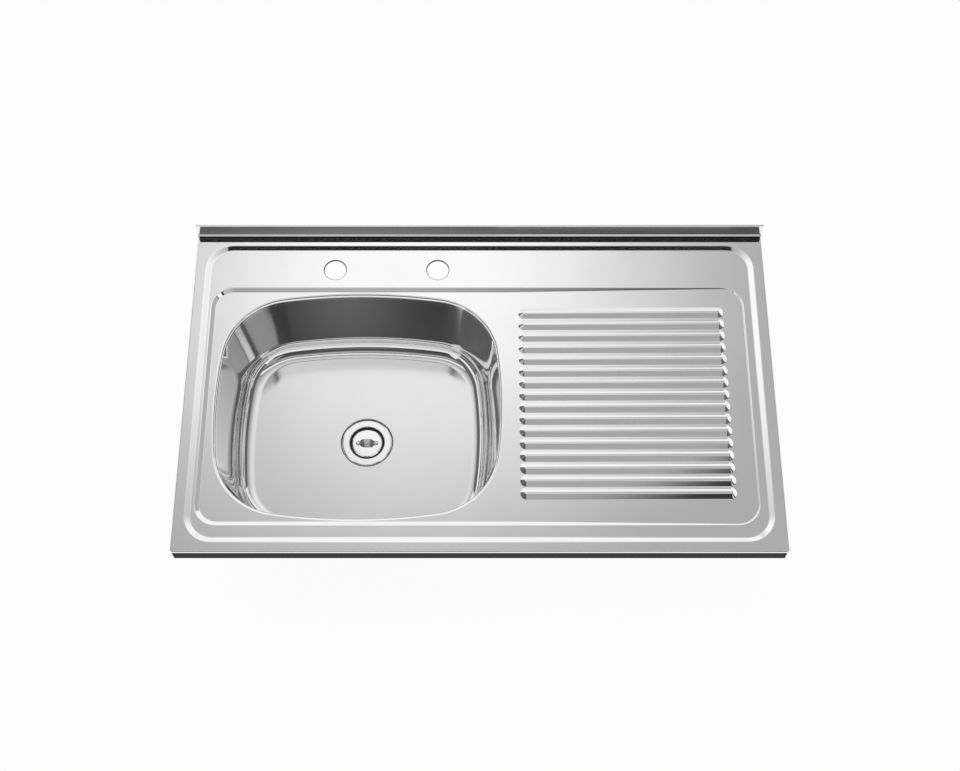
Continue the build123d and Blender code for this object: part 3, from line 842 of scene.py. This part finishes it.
deck_steel = steel("deck_steel", (0.89, 0.89, 0.89), (0.92, 0.92, 0.92), 0.035, 0.055, (6, 500, 500))
# Near-black steel for the tap holes' turned-down edges: painted shade standing in for the dark reflections
# there
painted_shade_edge = steel("painted_shade_edge", (0.06, 0.06, 0.06), (0.1, 0.1, 0.1), 0.3, 0.4, (300, 300, 300))
bowl_steel = steel(
    "bowl_steel", (0.75, 0.75, 0.75), (0.78, 0.78, 0.78), 0.035, 0.05, (6, 500, 500), (-0.1537, -0.150, 0.08)
)
waste_steel = steel("waste_steel", (0.88, 0.88, 0.88), (0.92, 0.92, 0.92), 0.08, 0.14, (300, 300, 300))
plug_steel = steel("plug_steel", (0.91, 0.91, 0.91), (0.94, 0.94, 0.94), 0.05, 0.1, (300, 300, 300))
# Darker steel for the bow handle: painted shade standing in for the dark reflections on the handle
painted_shade_handle_steel = steel("painted_shade_handle_steel", (0.40, 0.40, 0.40), (0.46, 0.46, 0.46), 0.06, 0.12, (300, 300, 300))
black_rubber = matte("black_rubber", (0.008, 0.008, 0.008), (0.02, 0.02, 0.02), 0.5, 0.7, 900.0, 0.3, 0.0002)
damping_pad = matte("damping_pad", (0.09, 0.09, 0.1), (0.13, 0.13, 0.14), 0.7, 0.9, 300.0, 0.6, 0.0006)
waste_plastic = matte("waste_plastic", (0.74, 0.74, 0.72), (0.8, 0.8, 0.78), 0.35, 0.5, 700.0, 0.15, 0.0002)
insert_brass = steel("insert_brass", (0.72, 0.52, 0.22), (0.8, 0.6, 0.28), 0.2, 0.3, (300, 300, 300))

FINISHES = {
    "deck_steel": deck_steel, "bowl_steel": bowl_steel, "waste_steel": waste_steel, "plug_steel": plug_steel,
    "black_rubber": black_rubber, "damping_pad": damping_pad, "waste_plastic": waste_plastic,
    "insert_brass": insert_brass,
}
for part in frame["record"]["subparts"]:
    node = frame["nodes"][part["node"]]
    node.data.materials.clear()
    node.data.materials.append(FINISHES[part["material_slot"]])

sink_top(deck_steel, painted_shade_edge)
bowl(bowl_steel)
bowl_pad(damping_pad)
strainer_cup(waste_steel)
waste_body(waste_plastic)
plug_seal(black_rubber)
plug_cap(plug_steel)
basket_post(waste_steel)
# The bow handle takes the darkened steel, which is painted shade
plug_handle(painted_shade_handle_steel)
handle_rivets(plug_steel)

# Studio: white surroundings, a pale floor, and cards that show only in reflections
scene = bpy.context.scene
scene.view_settings.view_transform = "Standard"
FLOOR_LEVEL = CAD_LOW.z - 0.001
CEILING_Z = 1.2
CARD_HALF = 1.15


def seen(nodes, links):
    """One for rays from the camera and for mirrored and transmitted rays, and nought for others."""
    path = nodes.new("ShaderNodeLightPath")
    first = nodes.new("ShaderNodeMath")
    first.operation = "MAXIMUM"
    links.new(path.outputs["Is Camera Ray"], first.inputs[0])
    links.new(path.outputs["Is Glossy Ray"], first.inputs[1])
    second = nodes.new("ShaderNodeMath")
    second.operation = "MAXIMUM"
    links.new(first.outputs["Value"], second.inputs[0])
    links.new(path.outputs["Is Transmission Ray"], second.inputs[1])
    return second.outputs["Value"]


def surroundings():
    """White world, and a softer level for the light that it gives."""
    world = bpy.data.worlds.new("studio")
    world.use_nodes = True
    nodes = world.node_tree.nodes
    links = world.node_tree.links
    nodes.clear()
    light = nodes.new("ShaderNodeBackground")
    light.inputs["Strength"].default_value = 0.55
    white = nodes.new("ShaderNodeBackground")
    white.inputs["Color"].default_value = (1, 1, 1, 1)
    white.inputs["Strength"].default_value = 1.0
    mix = nodes.new("ShaderNodeMixShader")
    out = nodes.new("ShaderNodeOutputWorld")
    links.new(seen(nodes, links), mix.inputs["Fac"])
    links.new(light.outputs["Background"], mix.inputs[1])
    links.new(white.outputs["Background"], mix.inputs[2])
    links.new(mix.outputs["Shader"], out.inputs["Surface"])
    scene.world = world


def quad(name, corners, material):
    """Stage object of one flat face."""
    mesh = bpy.data.meshes.new(name)
    mesh.from_pydata(corners, [], [tuple(range(len(corners)))])
    mesh.materials.append(material)
    item = bpy.data.objects.new(name, mesh)
    scene.collection.objects.link(item)
    return item


def floor():
    """Pale floor that reads as white and keeps a soft shadow."""
    material, nodes, links, shader = new_material("floor")
    shader.inputs["Base Color"].default_value = (0.9, 0.9, 0.9, 1)
    shader.inputs["Roughness"].default_value = 1.0
    glow = nodes.new("ShaderNodeEmission")
    mix = nodes.new("ShaderNodeMixShader")
    share = nodes.new("ShaderNodeMath")
    share.operation = "MULTIPLY"
    share.inputs[1].default_value = 0.94
    links.new(seen(nodes, links), share.inputs[0])
    links.new(share.outputs["Value"], mix.inputs["Fac"])
    links.new(shader.outputs["BSDF"], mix.inputs[1])
    links.new(glow.outputs["Emission"], mix.inputs[2])
    links.new(mix.outputs["Shader"], nodes["Material Output"].inputs["Surface"])
    reach = 12.0
    quad("floor", [
        (-reach, -reach, FLOOR_LEVEL), (reach, -reach, FLOOR_LEVEL),
        (reach, reach, FLOOR_LEVEL), (-reach, reach, FLOOR_LEVEL),
    ], material)


def card(name, corners, strength, fade=None):
    """Card that shows only in reflections, with a strength that may fade to a second one round a centre."""
    material = bpy.data.materials.new(name)
    material.use_nodes = True
    nodes = material.node_tree.nodes
    links = material.node_tree.links
    nodes.clear()
    glow = nodes.new("ShaderNodeEmission")
    glow.inputs["Strength"].default_value = strength
    out = nodes.new("ShaderNodeOutputMaterial")
    links.new(glow.outputs["Emission"], out.inputs["Surface"])
    if fade:
        far, centre, stretch, start, end = fade
        place = nodes.new("ShaderNodeTexCoord")
        mapping = nodes.new("ShaderNodeMapping")
        mapping.vector_type = "TEXTURE"
        mapping.inputs["Location"].default_value = centre
        mapping.inputs["Scale"].default_value = (1 / stretch, 1, 1)
        length = nodes.new("ShaderNodeVectorMath")
        length.operation = "LENGTH"
        links.new(place.outputs["Object"], mapping.inputs["Vector"])
        links.new(mapping.outputs["Vector"], length.inputs[0])
        span = nodes.new("ShaderNodeMapRange")
        span.interpolation_type = "SMOOTHSTEP"
        span.inputs["From Min"].default_value = start
        span.inputs["From Max"].default_value = end
        span.inputs["To Min"].default_value = strength
        span.inputs["To Max"].default_value = far
        links.new(length.outputs["Value"], span.inputs["Value"])
        links.new(span.outputs["Result"], glow.inputs["Strength"])
    item = quad(name, corners, material)
    item.visible_camera = False
    item.visible_diffuse = False
    item.visible_transmission = False
    item.visible_volume_scatter = False
    item.visible_shadow = False


def level(x0, x1, y0, y1, z):
    """Corners of a level card."""
    return [(x0, y0, z), (x1, y0, z), (x1, y1, z), (x0, y1, z)]


def ceiling(y0, y1):
    """Corners of a level card over the whole width."""
    return level(-CARD_HALF, CARD_HALF, y0, y1, CEILING_Z)


def upright(x, y0, y1, z0, z1):
    """Corners of an upright card that faces along X."""
    return [(x, y0, z0), (x, y1, z0), (x, y1, z1), (x, y0, z1)]


def across(x0, x1, y, z0, z1):
    """Corners of an upright card that faces along Y."""
    return [(x0, y, z0), (x1, y, z0), (x1, y, z1), (x0, y, z1)]


def slope(y0, z0, y1, z1):
    """Corners of a card over the whole width that leans between two level edges."""
    return [
        (-CARD_HALF, y0, z0), (CARD_HALF, y0, z0), (CARD_HALF, y1, z1), (-CARD_HALF, y1, z1),
    ]


surroundings()
floor()
card("soft_light", ceiling(-0.18, 1.1), 1.05, (0.46, (-0.18, 0.62, CEILING_Z), 1.0, 0.12, 1.02))
card("first_gap", ceiling(-0.228, -0.18), 0.012)
card("second_gap", ceiling(-0.585, -0.5), 0.012)
card("front_ceiling", ceiling(-1.5, -0.585), 0.55, (0.1, (-0.32, -0.585, CEILING_Z), 0.4, 0.15, 0.42))
card("rib_light", level(0.04, 0.57, -0.96, -0.475, 0.6), 0.42, (0.04, (0.0, -0.55, 0.6), 0.6, 0.38, 0.47))
card("front_flag", slope(-1.5, CEILING_Z, -1.85, 1.0), 0.22, (0.06, (-0.34, -1.62, 1.13), 2.0, 0.02, 0.24))
card("left_flag", upright(-1.0, -0.95, 0.45, 0.45, 1.1), 0.15)
card("right_flag", upright(1.0, -0.95, 0.6, 0.45, 1.15), 0.15)
card("edge_flag", across(-0.53, 0.53, -0.62, -0.15, -0.08), 0.05)

lamp = bpy.data.lights.new("overhead", "AREA")
lamp.shape = "RECTANGLE"
lamp.size = 3.0
lamp.size_y = 2.4
lamp.energy = 40.0
lamp_object = bpy.data.objects.new("overhead", lamp)
lamp_object.location = (-0.5, 0.4, 2.6)
lamp_object.visible_glossy = False
scene.collection.objects.link(lamp_object)

# Camera at the photograph's place
camera = bpy.data.cameras.new("camera")
camera.sensor_width = 36.0
camera.lens = 57.645
camera_object = bpy.data.objects.new("camera", camera)
camera_object.location = (0.0007, -1.4150, 2.3422)
camera_object.rotation_euler = (radians(25.78), 0, 0)
scene.collection.objects.link(camera_object)
scene.camera = camera_object
